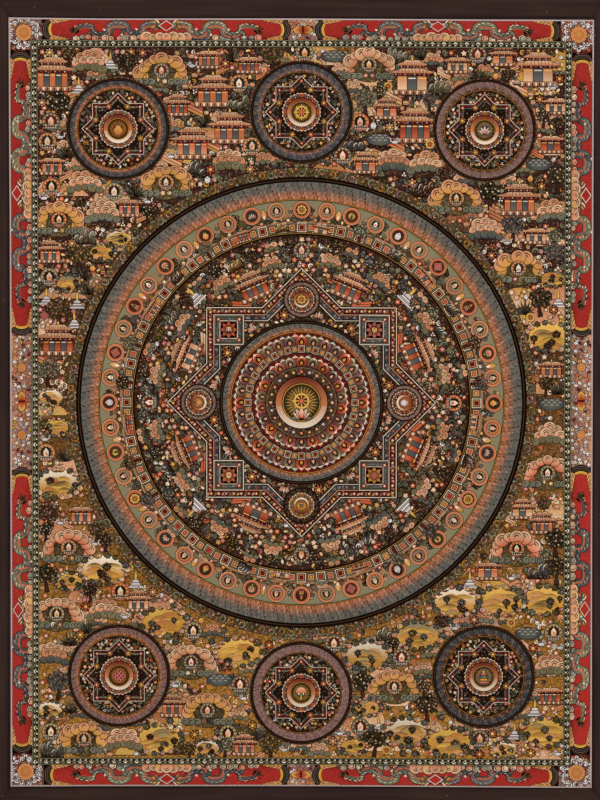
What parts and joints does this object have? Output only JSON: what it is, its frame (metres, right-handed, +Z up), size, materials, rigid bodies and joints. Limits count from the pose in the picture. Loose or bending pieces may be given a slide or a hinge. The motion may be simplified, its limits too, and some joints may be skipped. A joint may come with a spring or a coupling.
{
  "type": "thangka scroll painting",
  "caption": "Upright painted canvas of a wheel mandala in a patterned painted border, sewn over a plain dark cloth surround that hangs flat from its hemmed top edge.",
  "frame": {"origin": "middle of the hanging's top edge, where it is held, on the middle of the cloth's thickness", "axes": "+Z up, +X to the right as the painting is seen, and the painting faces -Y"},
  "size_m": [0.849, 0.0124, 1.12],
  "materials": {
    "painted_canvas": "primed cotton canvas, painted all over in fine matt mineral colours with small gold details",
    "border_cloth": "plain dark brown cotton cloth, matt"
  },
  "bodies": {
    "root": {"painted_canvas": "painted_canvas", "border_top": "border_cloth", "border_right": "border_cloth", "border_bottom": "border_cloth", "border_left": "border_cloth"}
  },
  "joints": []
}
